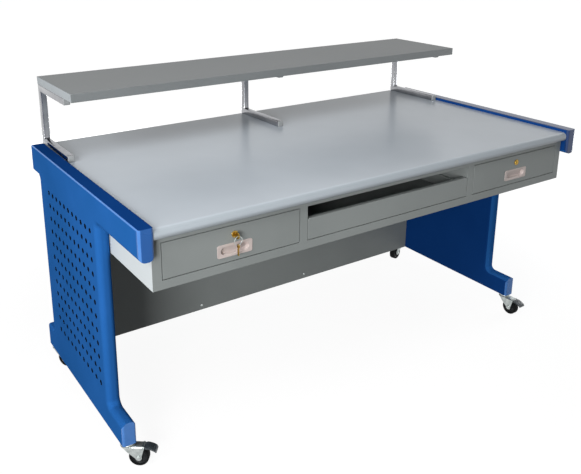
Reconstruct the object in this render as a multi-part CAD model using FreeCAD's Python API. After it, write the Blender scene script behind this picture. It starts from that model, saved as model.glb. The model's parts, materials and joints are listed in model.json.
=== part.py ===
import FreeCAD, Part
import os
from math import cos, pi, sin

# Training workbench, millimetres. X runs along the bench to the right, Y from front to rear, Z up.
# The origin is on the floor under the middle of the bench.
# A "set" size is counted from the arms' front ends.

# Worktop
worktop_width = 1500.0
worktop_depth = 830.0
worktop_thickness = 30.0
worktop_height = 750.0
nose_round = 14.0
worktop_edge_round = 1.5
assembly_gap = 0.3

# Pressed steel legs: arm on top, panel below, foot with a heel behind at the bottom
leg_thickness = 40.0
leg_sheet = 1.5
arm_height = 82.0
arm_rise = 10.0
arm_lead = 6.0
arm_rear_gap = 30.0
arm_top_round = 4.0
arm_end_round = 9.0
leg_front_set = 275.0
leg_rear_inset = 62.0
leg_edge_round = 17.0
leg_rear_round = 8.0
leg_corner_round = 14.0
foot_lead = 97.0
foot_height = 70.0
foot_end_round = 7.0
heel_reach = 62.0

# Grid of round holes in each leg's outer skin
hole_radius = 7.5
hole_columns = 11
hole_rows = 12
hole_pitch_depth = 34.0
hole_pitch_height = 41.5
hole_rear_margin = 85.0
hole_top_margin = 30.0

# Steel drawer housing under the worktop
housing_front_set = 24.0
housing_depth = 430.0
housing_height = 132.0
housing_sheet = 1.2
housing_top_flange = 26.0
stile_width = 25.0
divider_width = 24.0
top_rail_height = 12.0
bottom_rail_height = 23.0
frame_fold = 18.0
bay_width = 608.0

# Drawers, keyboard tray and their runners
front_gap = 2.0
front_depth = 14.0
front_sheet = 1.0
front_lip = 14.0
front_edge_round = 0.8
box_sheet = 1.0
box_depth = 388.0
drawer_box_height = 73.0
box_floor_gap = 6.0
tray_depth = 330.0
tray_front_height = 60.0
tray_wall_height = 38.0
tray_corner_round = 8.0
runner_space = 12.7
rail_width = 10.0
rail_height = 34.0
rail_wall = 1.5
rail_lip = 5.0
rail_floor_gap = 8.0
slide_gap = 0.3
slide_back_gap = 2.0

# Recessed cup pulls
pull_width = 100.0
pull_height = 34.0
pull_flange = 2.0
pull_corner = 5.0
pull_rim = 8.0
pull_wall = 1.8
pull_depth = 12.0
pull_drop = 15.0
pull_dish_round = 5.0
pull_fit = 0.3

# Cam locks, keys and key ring
lock_top_margin = 25.0
lock_head_radius = 9.0
lock_head_height = 2.5
lock_body_radius = 7.9
lock_body_length = 24.0
lock_nut_radius = 11.0
lock_nut_height = 3.0
lock_fit = 0.1
plug_radius = 5.0
plug_fit = 0.05
plug_tail_radius = 3.0
plug_tail_head = 2.0
cam_thickness = 2.0
cam_length = 32.0
cam_width = 12.0
keyway_width = 2.3
keyway_height = 7.0
keyway_depth = 18.0
key_thickness = 2.0
key_blade_height = 6.4
key_blade_length = 17.0
key_neck = 2.0
key_bow_radius = 9.0
key_hole_radius = 2.2
key_hole_offset = 3.6
spare_bow_radius = 6.0
spare_hole_offset = 2.6
ring_radius = 11.0
ring_wire = 0.8
loose_gap = 0.3

# Modesty panel and worktop cleats
modesty_rear_inset = 26.0
modesty_sheet = 1.2
modesty_angle_leg = 20.0
modesty_angle_sheet = 2.0
cleat_leg = 30.0
cleat_thickness = 3.0
cleat_margin = 20.0

# Upper shelf on three square-tube brackets
shelf_end_inset = 5.0
shelf_depth = 310.0
shelf_thickness = 25.0
shelf_edge_round = 1.5
bracket_tube = 20.0
bracket_wall = 1.5
bracket_length = 240.0
bracket_rise = 191.0
bracket_corner = 4.0
plug_cap = 2.0
plug_insert = 12.0
plug_insert_gap = 0.2

# Fasteners
bolt_radius = 4.0
bolt_head_radius = 7.0
bolt_head_height = 5.0
bolt_hole_gap = 0.1
weld_nut_radius = 7.5
weld_nut_height = 6.5
bolt_end = 2.0
bolt_top_margin = 14.0
screw_radius = 3.0
screw_head_radius = 6.0
screw_head_height = 3.0
screw_bite = 12.0
screw_margin = 45.0

# Swivel casters, the front two with brake pedals
caster_height = 70.0
wheel_radius = 28.0
wheel_width = 22.0
tread_round = 4.0
tyre_thickness = 6.0
tyre_seat = 0.05
hub_side_gap = 0.4
hub_flange_radius = 9.0
hub_dish = 2.5
caster_trail = 32.0
caster_front_margin = 20.0
caster_rear_margin = 28.0
swivel_radius = 20.0
swivel_cup = 7.0
swivel_gap = 0.3
kingpin_radius = 5.0
kingpin_head_radius = 8.5
kingpin_head = 2.5
running_fit = 0.05
fork_sheet = 2.5
fork_boss_radius = 9.0
axle_radius = 4.0
axle_head_radius = 6.5
axle_head = 4.0
stem_radius = 6.0
stem_length = 24.0
stem_fit = 0.1
mount_plate_thickness = 5.0
mount_plate_gap = 0.5
pedal_length = 40.0
pedal_width = 28.0
pedal_thickness = 5.0
pedal_pin_radius = 2.0
pedal_barrel_radius = 4.2
pedal_pin_out = 12.0
pedal_pin_height = 58.5
pedal_tilt = 14.0
caster_turns = {"front_left": -38.0, "front_right": -88.5, "rear_left": -58.0, "rear_right": 197.0}

# Levels and stations worked out from the sizes above
total_depth = arm_lead + worktop_depth
arm_front = -total_depth / 2
worktop_front = arm_front + arm_lead
worktop_rear = arm_front + total_depth
worktop_under = worktop_height - worktop_thickness
inner_x = worktop_width / 2
arm_top = worktop_height + arm_rise
arm_bottom = arm_top - arm_height
arm_rear = worktop_rear - arm_rear_gap
leg_front = arm_front + leg_front_set
leg_rear = arm_rear - leg_rear_inset
leg_bottom = caster_height
foot_front = leg_front - foot_lead
foot_top = leg_bottom + foot_height
heel_rear = leg_rear + heel_reach
plan_change = (foot_top + arm_bottom) / 2
leg_middle = inner_x + leg_thickness / 2
housing_front = arm_front + housing_front_set
housing_rear = housing_front + housing_depth
housing_top = worktop_under
housing_bottom = housing_top - housing_height
housing_half = inner_x - assembly_gap
opening_bottom = housing_bottom + bottom_rail_height
opening_top = housing_top - top_rail_height
bay_half = bay_width / 2
drawer_inner = bay_half + divider_width
drawer_outer = inner_x - stile_width
drawer_middle = (drawer_inner + drawer_outer) / 2
runner_front = housing_front + frame_fold
box_front = housing_front + front_depth
modesty_front = leg_rear - modesty_rear_inset
shelf_half = inner_x - shelf_end_inset
shelf_under = worktop_height + bracket_rise
axle_z = wheel_radius

X = FreeCAD.Vector(1, 0, 0)
Y = FreeCAD.Vector(0, 1, 0)
Z = FreeCAD.Vector(0, 0, 1)
origin = FreeCAD.Vector(0, 0, 0)


def point(x, y, z):
    return FreeCAD.Vector(x, y, z)


def block(low, high):
    size = [b - a for a, b in zip(low, high)]
    return Part.makeBox(*size, point(*low))


def rod(start, direction, radius, length):
    return Part.makeCylinder(radius, length, start, direction)


def hex_rod(start, direction, radius, length):
    turn = FreeCAD.Rotation(Z, direction)
    corners = []
    for i in range(6):
        corner = point(radius * cos(i * pi / 3), radius * sin(i * pi / 3), 0)
        corners.append(start + turn.multVec(corner))
    return Part.Face(Part.makePolygon(corners + corners[:1])).extrude(direction * length)


def fused(shapes):
    return shapes[0].multiFuse(shapes[1:]).removeSplitter()


def outline(corners, place):
    """A closed flat face through corners (u, v, radius), each rounded by its radius."""
    count = len(corners)
    edges = []
    starts = []
    ends = []
    middles = []
    for i in range(count):
        here = FreeCAD.Vector(corners[i][0], corners[i][1], 0)
        before = FreeCAD.Vector(corners[i - 1][0], corners[i - 1][1], 0) - here
        after = FreeCAD.Vector(corners[(i + 1) % count][0], corners[(i + 1) % count][1], 0) - here
        radius = corners[i][2]
        before.normalize()
        after.normalize()
        half = before.getAngle(after) / 2
        reach = radius * cos(half) / sin(half)
        bisector = before + after
        bisector.normalize()
        starts.append(here + before * reach)
        ends.append(here + after * reach)
        middles.append(here + bisector * (radius / sin(half) - radius))
    for i in range(count):
        if corners[i][2] > 0:
            ring = [place(p.x, p.y) for p in (starts[i], middles[i], ends[i])]
            edges.append(Part.Arc(*ring).toShape())
        a = ends[i]
        b = starts[(i + 1) % count]
        if (b - a).Length > 1e-6:
            edges.append(Part.LineSegment(place(a.x, a.y), place(b.x, b.y)).toShape())
    return Part.Face(Part.Wire(Part.__sortEdges__(edges)))


def plate_x(corners, x0, x1):
    face = outline(corners, lambda u, v: point(x0, u, v))
    return face.extrude(X * (x1 - x0))


def plate_y(corners, y0, y1):
    face = outline(corners, lambda u, v: point(u, y0, v))
    return face.extrude(Y * (y1 - y0))


def plate_z(corners, z0, z1):
    face = outline(corners, lambda u, v: point(u, v, z0))
    return face.extrude(Z * (z1 - z0))


def rectangle(u0, v0, u1, v1, radius=0.0):
    return [(u0, v0, radius), (u1, v0, radius), (u1, v1, radius), (u0, v1, radius)]


def mirrored(shape):
    return shape.mirror(origin, X)


def write(name, shapes):
    shape = shapes[0] if len(shapes) == 1 else Part.makeCompound(shapes)
    shape.exportStep("parts/" + name + ".step")


def edges_at(shape, wanted):
    return [edge for edge in shape.Edges if wanted(edge)]


# Legs


def leg_form(inset):
    """The left leg's outer form, or its hollow when inset by the sheet: local x from 0 outside to inside."""
    front = arm_front + inset
    rear = arm_rear - inset
    top = arm_top - inset
    bottom = arm_bottom + inset
    panel_front = leg_front + inset
    panel_rear = leg_rear - inset
    floor = leg_bottom + inset
    toe = foot_front + inset
    toe_top = foot_top - inset
    heel = heel_rear - inset
    corners = [
        (front, top, 0.0),
        (rear, top, 0.0),
        (rear, bottom, 0.0),
        (panel_rear, bottom, leg_corner_round + inset),
        (panel_rear, toe_top, leg_corner_round + inset),
        (heel, toe_top, 0.0),
        (heel, floor, 0.0),
        (toe, floor, 0.0),
        (toe, toe_top, 0.0),
        (panel_front, toe_top, leg_corner_round + inset),
        (panel_front, bottom, leg_corner_round + inset),
        (front, bottom, 0.0),
    ]
    inside = leg_thickness - inset
    form = plate_x(corners, inset, inside)

    def on_side(edge):
        box = edge.BoundBox
        return box.XLength < 1e-6

    def along_front(edge):
        box = edge.BoundBox
        middle = box.Center
        between = toe_top - 1e-6 < box.ZMin and box.ZMax < bottom + 1e-6
        return on_side(edge) and between and middle.y < panel_front + 1e-6

    def along_rear(edge):
        box = edge.BoundBox
        middle = box.Center
        between = toe_top - 1e-6 < box.ZMin and box.ZMax < bottom + 1e-6
        return on_side(edge) and between and middle.y > panel_rear - 1e-6

    def along_top(edge):
        box = edge.BoundBox
        return on_side(edge) and box.ZLength < 1e-6 and abs(box.ZMax - top) < 1e-6

    form = form.makeFillet(leg_edge_round - inset, edges_at(form, along_front))
    form = form.makeFillet(leg_rear_round - inset, edges_at(form, along_rear))
    form = form.makeFillet(arm_top_round - inset, edges_at(form, along_top))
    end_round = arm_end_round - inset
    arm_plan = [(inset, front, end_round), (inside, front, end_round)]
    arm_plan += [(inside, rear, 0.0), (inset, rear, 0.0)]
    foot_plan = rectangle(inset, toe, inside, heel, foot_end_round - inset)
    plan = [plate_z(foot_plan, floor, plan_change), plate_z(arm_plan, plan_change, top)]
    return form.common(fused(plan)).removeSplitter()


def hole_grid():
    first_y = leg_rear - hole_rear_margin
    first_z = arm_bottom - hole_top_margin
    cutters = []
    for column in range(hole_columns):
        for row in range(hole_rows):
            y = first_y - column * hole_pitch_depth
            z = first_z - row * hole_pitch_height
            cutters.append(rod(point(-leg_sheet, y, z), X, hole_radius, 3 * leg_sheet))
    return Part.makeCompound(cutters)


def caster_places():
    front = foot_front + caster_front_margin
    rear = heel_rear - caster_rear_margin
    return {
        "front_left": (-leg_middle, front),
        "front_right": (leg_middle, front),
        "rear_left": (-leg_middle, rear),
        "rear_right": (leg_middle, rear),
    }


def cleat_span():
    return housing_rear + cleat_margin, bracket_screw_stations()[0] - screw_head_radius - cleat_margin


def frame_bolt_places():
    """Stations of the bolts through each leg's inner cover: y, z and the face that the head sits on."""
    channel_face = housing_half - 2 * housing_sheet
    angle_face = inner_x - assembly_gap - modesty_angle_sheet
    cleat_face = inner_x - assembly_gap - cleat_thickness
    housing_z = housing_top - bolt_top_margin
    angle_y = modesty_front + modesty_sheet + modesty_angle_leg / 2
    cleat_z = worktop_under - cleat_leg / 2
    cleat_start, cleat_end = cleat_span()
    return [
        (housing_front + housing_depth * 0.3, housing_z, channel_face),
        (housing_front + housing_depth * 0.85, housing_z, channel_face),
        (angle_y, leg_bottom + foot_height * 1.5, angle_face),
        (angle_y, arm_bottom - foot_height * 1.5, angle_face),
        (cleat_start + cleat_margin, cleat_z, cleat_face),
        (cleat_end - cleat_margin, cleat_z, cleat_face),
    ]


def bolt_holes(x0, x1):
    radius = bolt_radius + bolt_hole_gap
    return [rod(point(x0, y, z), X, radius, x1 - x0) for y, z, face in frame_bolt_places()]


def make_legs():
    form = leg_form(0.0)
    hollow = form.cut(leg_form(leg_sheet))
    cover_face = leg_thickness - leg_sheet
    low = (cover_face, arm_front - leg_thickness, 0.0)
    high = (leg_thickness + leg_sheet, worktop_rear + leg_thickness, arm_top + leg_thickness)
    slab = block(low, high)
    shell = hollow.cut(slab).cut(hole_grid())
    cover = form.common(slab)
    stems = []
    for name, (x, y) in caster_places().items():
        if x < 0:
            start = point(leg_thickness / 2, y, leg_bottom - leg_sheet)
            stems.append(rod(start, Z, stem_radius + stem_fit, 3 * leg_sheet))
    shell = shell.cut(Part.makeCompound(stems))
    cover = cover.cut(Part.makeCompound(bolt_holes(cover_face - leg_sheet, leg_thickness + leg_sheet)))
    for shape in (shell, cover):
        shape.translate(X * (-inner_x - leg_thickness))
    write("left_leg_shell", [shell])
    write("left_leg_cover", [cover])
    write("right_leg_shell", [mirrored(shell)])
    write("right_leg_cover", [mirrored(cover)])


# Worktop, cleats and modesty panel


def bracket_middles():
    side = shelf_half - bracket_tube / 2
    return {"left": -side, "middle": 0.0, "right": side}


def bracket_screw_stations():
    front = worktop_rear - bracket_length + screw_margin
    rear = worktop_rear - bracket_tube - screw_margin
    return [front, rear]


def make_worktop():
    half = worktop_width / 2 - assembly_gap
    profile = [
        (worktop_front, worktop_under, nose_round),
        (worktop_rear, worktop_under, worktop_edge_round),
        (worktop_rear, worktop_height, worktop_edge_round),
        (worktop_front, worktop_height, nose_round),
    ]
    board = plate_x(profile, -half, half)
    cutters = []
    for x in bracket_middles().values():
        for y in bracket_screw_stations():
            start = point(x, y, worktop_under)
            cutters.append(rod(start, Z, screw_radius + bolt_hole_gap, worktop_thickness))
    write("worktop", [board.cut(Part.makeCompound(cutters))])


def make_cleats():
    outer = inner_x - assembly_gap
    start, end = cleat_span()
    profile = [
        (outer, worktop_under, 0.0),
        (outer, worktop_under - cleat_leg, 0.0),
        (outer - cleat_thickness, worktop_under - cleat_leg, 0.0),
        (outer - cleat_thickness, worktop_under - cleat_thickness, cleat_thickness),
        (outer - cleat_leg, worktop_under - cleat_thickness, 0.0),
        (outer - cleat_leg, worktop_under, 0.0),
    ]
    angle = plate_y(profile, start, end)
    holes = bolt_holes(outer - 2 * cleat_thickness, inner_x)
    angle = angle.cut(Part.makeCompound(holes))
    write("worktop_cleats", [mirrored(angle), angle])


def make_modesty_panel():
    """A flat sheet, stiffened by angles welded behind it along its two sides and its bottom edge."""
    half = inner_x - assembly_gap
    back = modesty_front + modesty_sheet
    write("modesty_panel", [block((-half, modesty_front, leg_bottom), (half, back, worktop_under))])
    reach = modesty_angle_leg
    t = modesty_angle_sheet
    side_profile = [
        (half, back, 0.0),
        (half, back + reach, 0.0),
        (half - t, back + reach, 0.0),
        (half - t, back + t, t / 2),
        (half - reach, back + t, 0.0),
        (half - reach, back, 0.0),
    ]
    side = plate_z(side_profile, leg_bottom, worktop_under)
    side = side.cut(Part.makeCompound(bolt_holes(half - 2 * t, inner_x)))
    bottom_profile = [
        (back, leg_bottom, 0.0),
        (back + reach, leg_bottom, 0.0),
        (back + reach, leg_bottom + t, 0.0),
        (back + t, leg_bottom + t, t / 2),
        (back + t, leg_bottom + reach, 0.0),
        (back, leg_bottom + reach, 0.0),
    ]
    bottom = plate_x(bottom_profile, reach - half, half - reach)
    write("modesty_angles", [mirrored(side), side, bottom])


# Drawer housing


def openings():
    return {
        "left": (-drawer_outer, -drawer_inner),
        "bay": (-bay_half, bay_half),
        "right": (drawer_inner, drawer_outer),
    }


def make_housing():
    t = housing_sheet
    shell = block((-housing_half, housing_front, housing_bottom), (housing_half, housing_rear, housing_top))
    low = (-housing_half + t, housing_front + t, housing_bottom + t)
    high = (housing_half - t, housing_rear - t, housing_top - t)
    shell = shell.cut(block(low, high))
    margin = housing_top_flange
    low = (-housing_half + margin, housing_front + margin, housing_top - 2 * t)
    high = (housing_half - margin, housing_rear - margin, housing_top + t)
    shell = shell.cut(block(low, high))
    folds = [shell]
    holes = []
    for left, right in openings().values():
        low = (left - t, housing_front, opening_bottom - t)
        high = (right + t, runner_front, opening_top + t)
        folds.append(block(low, high))
        low = (left, housing_front - t, opening_bottom)
        high = (right, runner_front + t, opening_top)
        holes.append(block(low, high))
    shell = fused(folds)
    bolts = bolt_holes(housing_half - 2 * t, inner_x)
    bolts += [mirrored(bolt) for bolt in bolts]
    write("drawer_housing", [shell.cut(Part.makeCompound(holes + bolts))])


def make_runner_channels():
    """Box-section channels behind the front frame's stiles and dividers, which carry the rails."""
    t = housing_sheet
    spans = [(bay_half, drawer_inner), (drawer_outer, housing_half - t)]
    low_z = housing_bottom + t
    high_z = housing_top - t
    end = housing_rear - t
    channels = []
    bolts = Part.makeCompound(bolt_holes(housing_half - 3 * t, inner_x))
    for low_x, high_x in spans:
        outer = block((low_x, runner_front, low_z), (high_x, end, high_z))
        inner = block((low_x + t, runner_front - t, low_z + t), (high_x - t, end + t, high_z - t))
        channel = outer.cut(inner).cut(bolts)
        channels += [mirrored(channel), channel]
    write("runner_channels", channels)


# Runners, drawers and keyboard tray


def runner_middle():
    return opening_bottom + rail_floor_gap + rail_height / 2


def rail(face_x, side, length):
    """A lipped rail on a channel's face; side is +1 where the drawer lies towards +X."""
    z0 = runner_middle() - rail_height / 2
    z1 = runner_middle() + rail_height / 2
    mouth = rail_wall + rail_lip
    across = [
        (0.0, z0),
        (rail_width, z0),
        (rail_width, z0 + mouth),
        (rail_width - rail_wall, z0 + mouth),
        (rail_width - rail_wall, z0 + rail_wall),
        (rail_wall, z0 + rail_wall),
        (rail_wall, z1 - rail_wall),
        (rail_width - rail_wall, z1 - rail_wall),
        (rail_width - rail_wall, z1 - mouth),
        (rail_width, z1 - mouth),
        (rail_width, z1),
        (0.0, z1),
    ]
    corners = [(face_x + side * u, v, 0.0) for u, v in across]
    return plate_y(corners, runner_front, runner_front + length)


def slide(face_x, side, length):
    """The moving member: a channel that runs between the rail's lips and is fixed to the drawer's side."""
    half = rail_height / 2 - rail_wall - rail_lip - slide_gap
    z0 = runner_middle() - half
    z1 = runner_middle() + half
    far = runner_space
    across = [
        (slide_back_gap, z0),
        (far, z0),
        (far, z1),
        (slide_back_gap, z1),
        (slide_back_gap, z1 - rail_wall),
        (far - rail_wall, z1 - rail_wall),
        (far - rail_wall, z0 + rail_wall),
        (slide_back_gap, z0 + rail_wall),
    ]
    corners = [(face_x + side * u, v, 0.0) for u, v in across]
    return plate_y(corners, runner_front, runner_front + length)


def make_runners(name, span, depth):
    left, right = span
    length = depth - (runner_front - box_front)
    write(name + "_rails", [rail(left, 1, length), rail(right, -1, length)])
    write(name + "_slides", [slide(left, 1, length), slide(right, -1, length)])


def open_box(span, depth, height):
    left = span[0] + runner_space
    right = span[1] - runner_space
    low_z = opening_bottom + box_floor_gap
    t = box_sheet
    box = block((left, box_front, low_z), (right, box_front + depth, low_z + height))
    low = (left + t, box_front + t, low_z + t)
    high = (right - t, box_front + depth - t, low_z + height + t)
    return box.cut(block(low, high))


def front_pan(span, top, corner):
    """A folded front with a lip behind, as wide as its opening less the gap on each side."""
    left = span[0] + front_gap
    right = span[1] - front_gap
    bottom = opening_bottom + front_gap
    t = front_sheet
    corners = [(left, bottom, 0.0), (right, bottom, 0.0), (right, top, corner), (left, top, corner)]
    pan = plate_y(corners, housing_front, box_front)
    rim = edges_at(pan, lambda edge: edge.BoundBox.YMax < housing_front + 1e-6)
    pan = pan.makeFillet(front_edge_round, rim)
    inner = max(corner - t, 0.0)
    corners = [(left + t, bottom + t, 0.0), (right - t, bottom + t, 0.0), (right - t, top - t, inner)]
    corners.append((left + t, top - t, inner))
    pan = pan.cut(plate_y(corners, housing_front + t, box_front - t))
    low = (left + front_lip, box_front - 2 * t, bottom + front_lip)
    high = (right - front_lip, box_front + t, top - front_lip)
    return pan.cut(block(low, high))


def lock_z():
    return opening_top - lock_top_margin


def pull_z():
    return (opening_bottom + opening_top) / 2 - pull_drop


def pull_box(x, grow, y0, y1):
    half_w = pull_width / 2 - pull_rim + grow
    half_h = pull_height / 2 - pull_rim / 2 + grow
    z = pull_z()
    return plate_y(rectangle(x - half_w, z - half_h, x + half_w, z + half_h, pull_corner + grow), y0, y1)


def make_pull(side, x):
    z = pull_z()
    half_w = pull_width / 2
    half_h = pull_height / 2
    flange = plate_y(
        rectangle(x - half_w, z - half_h, x + half_w, z + half_h, pull_corner),
        housing_front - pull_flange,
        housing_front,
    )
    rim = edges_at(flange, lambda edge: edge.BoundBox.YMax < housing_front - pull_flange + 1e-6)
    flange = flange.makeFillet(pull_flange * 0.6, rim)
    body = pull_box(x, 0.0, housing_front - pull_flange / 4, housing_front + pull_depth)
    cup = fused([flange, body])
    hollow = pull_box(x, -pull_wall, housing_front - 2 * pull_flange, housing_front + pull_depth - pull_wall)
    deep = housing_front + pull_depth - pull_wall
    floor = edges_at(hollow, lambda edge: edge.BoundBox.YMin > deep - 1e-6)
    hollow = hollow.makeFillet(min(pull_dish_round, pull_corner - pull_wall - 0.2), floor)
    write(side + "_cup_pull", [cup.cut(hollow)])


def make_drawer(side, span):
    middle = (span[0] + span[1]) / 2
    axis = point(middle, housing_front - front_depth, lock_z())
    barrel_hole = rod(axis, Y, lock_body_radius + lock_fit, 3 * front_depth)
    box = open_box(span, box_depth, drawer_box_height)
    write(side + "_drawer_box", [box.cut(barrel_hole)])
    front = front_pan(span, opening_top - front_gap, 0.0)
    cup_hole = pull_box(middle, pull_fit, housing_front - front_sheet, housing_front + 2 * front_sheet)
    write(side + "_drawer_front", [front.cut(cup_hole).cut(barrel_hole)])
    make_runners(side + "_drawer", span, box_depth)
    make_pull(side, middle)
    make_lock(side, middle)


def make_lock(side, x):
    z = lock_z()
    body_end = housing_front + lock_body_length
    start = point(x, housing_front - 2 * lock_head_height, z)
    bore = rod(start, Y, plug_radius + plug_fit, 2 * lock_body_length)
    head = rod(point(x, housing_front - lock_head_height, z), Y, lock_head_radius, lock_head_height)
    rim = edges_at(head, lambda edge: edge.BoundBox.YMax < housing_front - lock_head_height + 1e-6)
    head = head.makeFillet(lock_head_height * 0.4, rim)
    body = rod(point(x, housing_front, z), Y, lock_body_radius, lock_body_length)
    nut_y = box_front + box_sheet
    nut = hex_rod(point(x, nut_y, z), Y, lock_nut_radius, lock_nut_height)
    nut = nut.cut(rod(point(x, nut_y - box_sheet, z), Y, lock_body_radius + lock_fit, 2 * lock_nut_height))
    write(side + "_lock_barrel", [fused([head, body]).cut(bore), nut])
    nose = housing_front - lock_head_height
    tail_y = body_end
    plug = [
        rod(point(x, nose, z), Y, plug_radius, tail_y - nose),
        rod(point(x, tail_y, z), Y, plug_tail_radius, cam_thickness),
        rod(point(x, tail_y + cam_thickness, z), Y, plug_radius, plug_tail_head),
    ]
    low = (x - keyway_width / 2, nose - key_neck, z - keyway_height / 2)
    high = (x + keyway_width / 2, nose + keyway_depth, z + keyway_height / 2)
    write(side + "_lock_plug", [fused(plug).cut(block(low, high))])
    half = cam_width / 2
    arm = [(x - cam_length, z - half, half * 0.9), (x + half, z - half, half * 0.9)]
    arm += [(x + half, z + half, half * 0.9), (x - cam_length, z + half, half * 0.9)]
    cam = plate_y(arm, tail_y, tail_y + cam_thickness)
    hole = rod(point(x, tail_y - cam_thickness, z), Y, plug_tail_radius + plug_fit, 3 * cam_thickness)
    write(side + "_lock_cam", [cam.cut(hole)])


def key_hole_y():
    nose = housing_front - lock_head_height
    return nose - key_neck - key_bow_radius - key_hole_offset


def ring_top_z():
    return lock_z() - key_hole_radius + ring_wire + loose_gap


def make_keys():
    x = -drawer_middle
    z = lock_z()
    nose = housing_front - lock_head_height
    half = key_thickness / 2
    bow_y = nose - key_neck - key_bow_radius
    low = (x - half, bow_y, z - key_blade_height / 2)
    high = (x + half, nose + key_blade_length, z + key_blade_height / 2)
    bow = rod(point(x - half, bow_y, z), X, key_bow_radius, key_thickness)
    hole = rod(point(x - key_thickness, key_hole_y(), z), X, key_hole_radius, 2 * key_thickness)
    write("left_key", [fused([bow, block(low, high)]).cut(hole)])
    y = key_hole_y()
    centre = point(x, y, ring_top_z() - ring_radius)
    ring = Part.makeTorus(ring_radius, ring_wire, centre, Y)
    write("key_ring", [ring])
    hole_z = ring_top_z() - 2 * ring_radius + ring_wire + loose_gap - key_hole_radius
    bow_z = hole_z - spare_hole_offset
    bow = rod(point(x - half, y, bow_z), X, spare_bow_radius, key_thickness)
    blade_end = bow_z - spare_bow_radius - key_neck - key_blade_length
    low = (x - half, y - key_blade_height / 2, blade_end)
    high = (x + half, y + key_blade_height / 2, bow_z)
    hole = rod(point(x - key_thickness, y, hole_z), X, key_hole_radius, 2 * key_thickness)
    write("spare_key", [fused([bow, block(low, high)]).cut(hole)])


def make_keyboard_tray():
    span = openings()["bay"]
    write("keyboard_tray", [open_box(span, tray_depth, tray_wall_height)])
    top = opening_bottom + front_gap + tray_front_height
    write("keyboard_front", [front_pan(span, top, tray_corner_round)])
    make_runners("keyboard", span, tray_depth)


# Upper shelf


def bracket_tube_form(x, inset):
    half = bracket_tube / 2 - inset
    front = worktop_rear - bracket_length
    rear = worktop_rear - inset
    low = worktop_height + inset
    high = shelf_under - inset
    deep = worktop_rear - bracket_tube + inset
    foot_high = worktop_height + bracket_tube - inset
    arm_low = shelf_under - bracket_tube + inset
    corner = max(bracket_corner - inset, 0.0)
    corners = [
        (front, low, 0.0),
        (rear, low, corner),
        (rear, high, corner),
        (front, high, 0.0),
        (front, arm_low, 0.0),
        (deep, arm_low, 0.0),
        (deep, foot_high, 0.0),
        (front, foot_high, 0.0),
    ]
    return plate_x(corners, x - half, x + half)


def make_shelf():
    low = (-shelf_half, worktop_rear - shelf_depth, shelf_under)
    high = (shelf_half, worktop_rear, shelf_under + shelf_thickness)
    shelf = block(low, high)
    shelf = shelf.makeFillet(shelf_edge_round, edges_at(shelf, lambda edge: edge.BoundBox.ZLength < 1e-6))
    pilots = []
    plugs = []
    screws = []
    front = worktop_rear - bracket_length
    hole = screw_radius + bolt_hole_gap
    for side, x in bracket_middles().items():
        tube = bracket_tube_form(x, 0.0).cut(bracket_tube_form(x, bracket_wall))
        tube_holes = []
        for y in bracket_screw_stations():
            tube_holes.append(rod(point(x, y, worktop_height - bracket_wall), Z, hole, 3 * bracket_wall))
            arm_under = shelf_under - bracket_tube
            tube_holes.append(rod(point(x, y, arm_under - bracket_wall), Z, hole, 2 * bracket_tube))
            pilots.append(rod(point(x, y, shelf_under - bracket_wall), Z, hole, screw_bite + bracket_wall))
            start = point(x, y, worktop_under - screw_head_height)
            head = rod(start, Z, screw_head_radius, screw_head_height)
            shank = rod(point(x, y, worktop_under), Z, screw_radius, worktop_thickness + 2 * bracket_wall)
            screws.append(fused([head, shank]))
            head = rod(point(x, y, arm_under - screw_head_height), Z, screw_head_radius, screw_head_height)
            shank = rod(point(x, y, arm_under), Z, screw_radius, bracket_tube + screw_bite - bracket_wall)
            screws.append(fused([head, shank]))
        write(side + "_shelf_bracket", [tube.cut(Part.makeCompound(tube_holes))])
        for z in (worktop_height + bracket_tube / 2, shelf_under - bracket_tube / 2):
            plugs.append(end_plug(x, front, z))
    write("upper_shelf", [shelf.cut(Part.makeCompound(pilots))])
    write("bracket_end_plugs", plugs)
    write("shelf_screws", screws)


def end_plug(x, front, z):
    half = bracket_tube / 2
    cap = plate_y(rectangle(x - half, z - half, x + half, z + half, plug_cap), front - plug_cap, front)
    half = bracket_tube / 2 - bracket_wall - plug_insert_gap
    insert = block((x - half, front, z - half), (x + half, front + plug_insert, z + half))
    return fused([cap, insert])


def make_frame_bolts():
    solids = []
    reach = inner_x + leg_sheet
    for y, z, face in frame_bolt_places():
        head = hex_rod(point(face - bolt_head_height, y, z), X, bolt_head_radius, bolt_head_height)
        length = reach + weld_nut_height + bolt_end - face
        bolt = fused([head, rod(point(face, y, z), X, bolt_radius, length)])
        nut = hex_rod(point(reach, y, z), X, weld_nut_radius, weld_nut_height)
        start = point(reach - leg_sheet, y, z)
        nut = nut.cut(rod(start, X, bolt_radius + bolt_hole_gap, 2 * weld_nut_height))
        solids += [bolt, nut, mirrored(bolt), mirrored(nut)]
    write("frame_bolts", solids)


# Casters, modelled with the trail along +X from the swivel axis and turned to their rest direction


def caster_stem():
    cup = rod(point(0, 0, leg_bottom - swivel_cup), Z, swivel_radius, swivel_cup)
    rim = edges_at(cup, lambda edge: edge.BoundBox.ZMax < leg_bottom - swivel_cup + 1e-6)
    cup = cup.makeFillet(swivel_cup * 0.3, rim)
    plate_top = leg_bottom - swivel_cup - swivel_gap
    head_top = plate_top - fork_sheet - swivel_gap
    head_low = head_top - kingpin_head
    stem = rod(point(0, 0, leg_bottom), Z, stem_radius, stem_length)
    pin = rod(point(0, 0, head_low), Z, kingpin_radius, leg_bottom - head_low)
    head = rod(point(0, 0, head_low), Z, kingpin_head_radius, kingpin_head)
    return fused([cup, stem, pin, head])


def cheek_inner():
    return wheel_width / 2 + hub_side_gap * 2


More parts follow.
